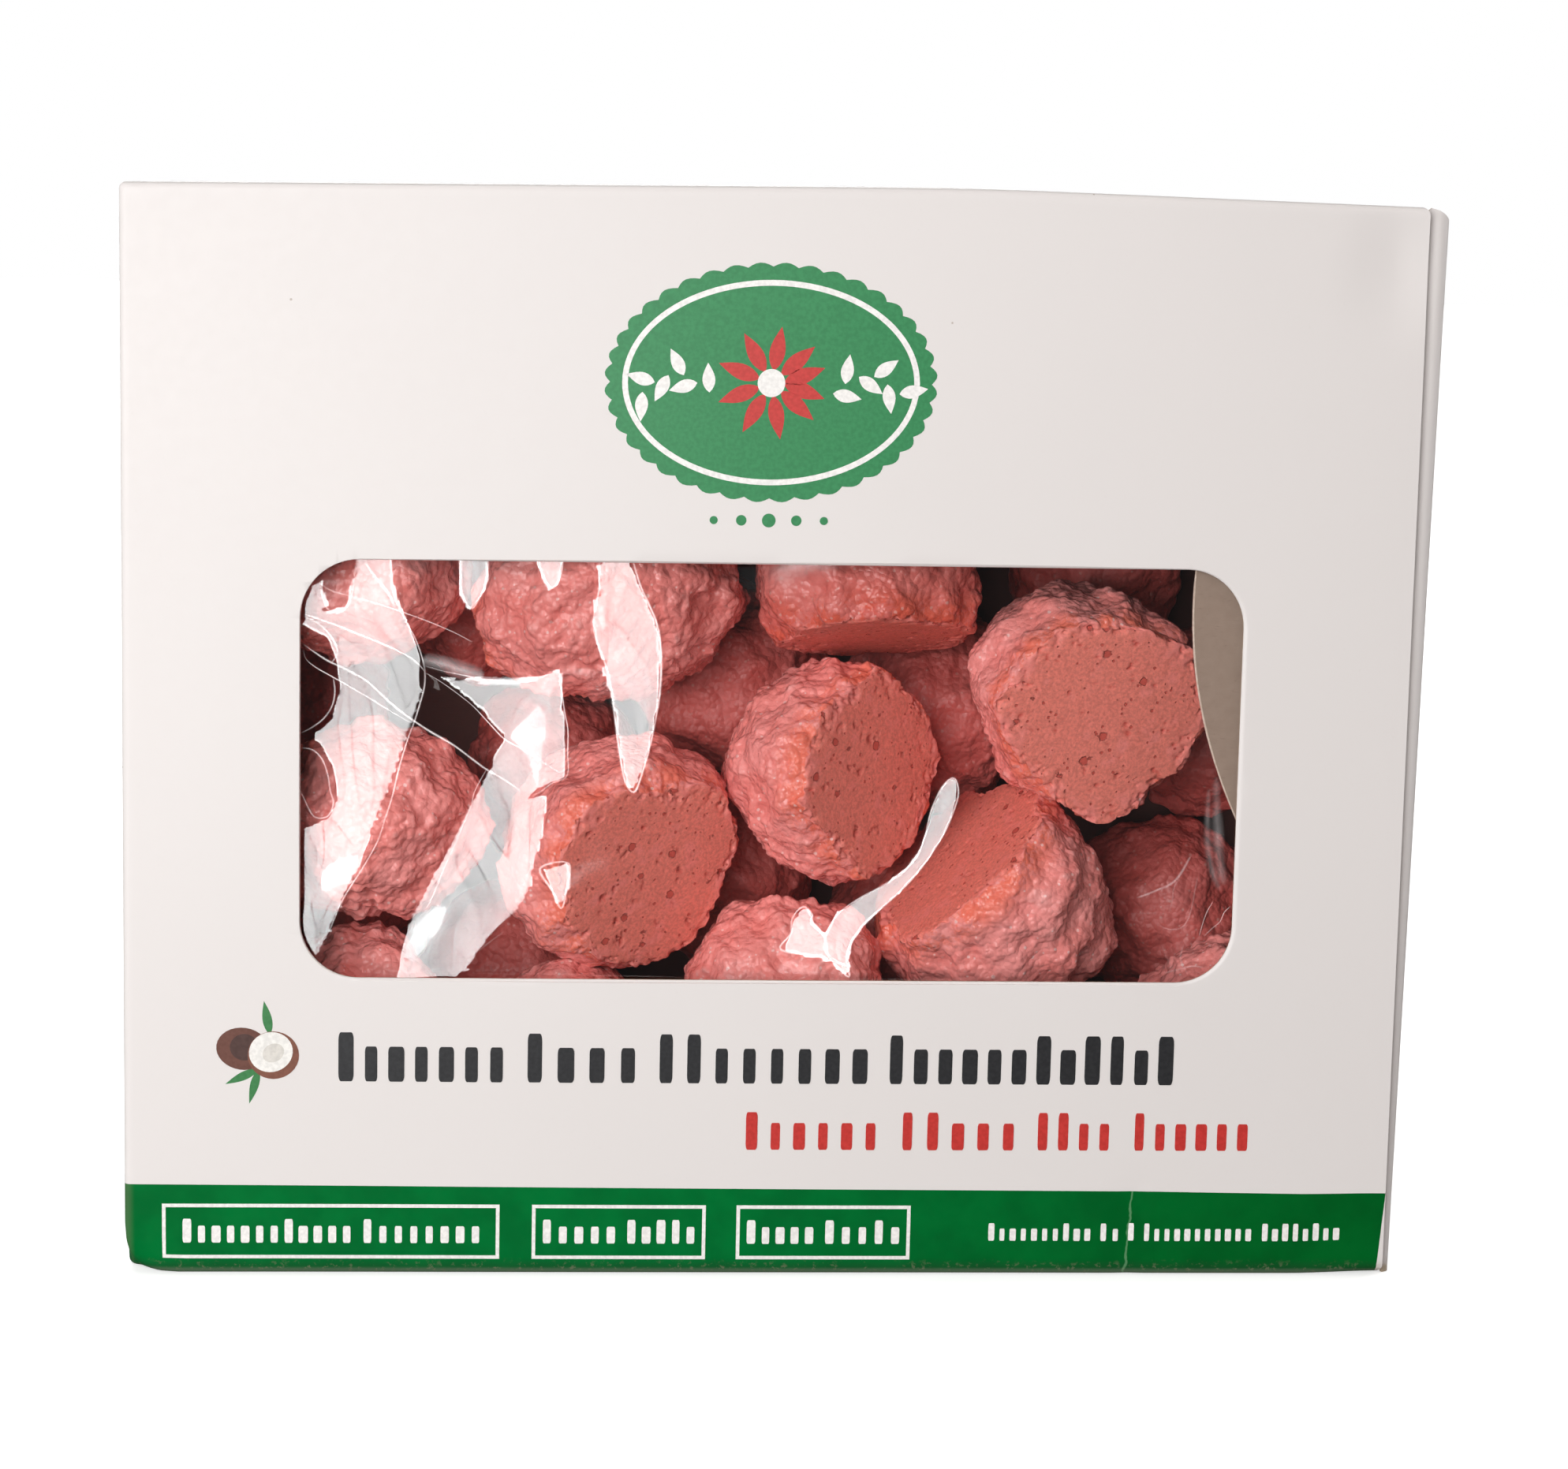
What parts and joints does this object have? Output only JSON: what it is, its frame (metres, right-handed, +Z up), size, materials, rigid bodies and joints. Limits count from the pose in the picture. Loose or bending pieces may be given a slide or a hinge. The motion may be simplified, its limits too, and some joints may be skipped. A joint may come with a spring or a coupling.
{
  "type": "windowed carton of coconut macaroons",
  "caption": "Shut white board carton with a green foot band and a film window that shows small coconut macaroons.",
  "frame": {"origin": "middle of the carton's underside, taken on its bounding box, side lid included", "axes": "+Z up, the window faces -Y, +X towards the side lid that tucks in on the viewer's right"},
  "size_m": [0.1634, 0.0515, 0.1374],
  "materials": {
    "board": "satin",
    "clear_film": "clear gloss",
    "macaroon": "moist"
  },
  "bodies": {
    "root": {"carton": "board", "window_film": "clear_film", "macaroon_01": "macaroon", "macaroon_02": "macaroon", "macaroon_03": "macaroon", "macaroon_04": "macaroon", "macaroon_05": "macaroon", "macaroon_06": "macaroon", "macaroon_07": "macaroon", "macaroon_08": "macaroon", "macaroon_09": "macaroon", "macaroon_10": "macaroon", "macaroon_11": "macaroon", "macaroon_12": "macaroon", "macaroon_13": "macaroon", "macaroon_14": "macaroon", "macaroon_15": "macaroon", "macaroon_16": "macaroon", "macaroon_17": "macaroon", "macaroon_18": "macaroon", "macaroon_19": "macaroon", "macaroon_20": "macaroon", "macaroon_21": "macaroon", "macaroon_22": "macaroon", "macaroon_23": "macaroon", "macaroon_24": "macaroon", "macaroon_25": "macaroon", "macaroon_26": "macaroon", "macaroon_27": "macaroon", "macaroon_28": "macaroon", "macaroon_29": "macaroon", "macaroon_30": "macaroon", "macaroon_31": "macaroon", "macaroon_32": "macaroon", "macaroon_33": "macaroon", "macaroon_34": "macaroon"}
  },
  "joints": []
}
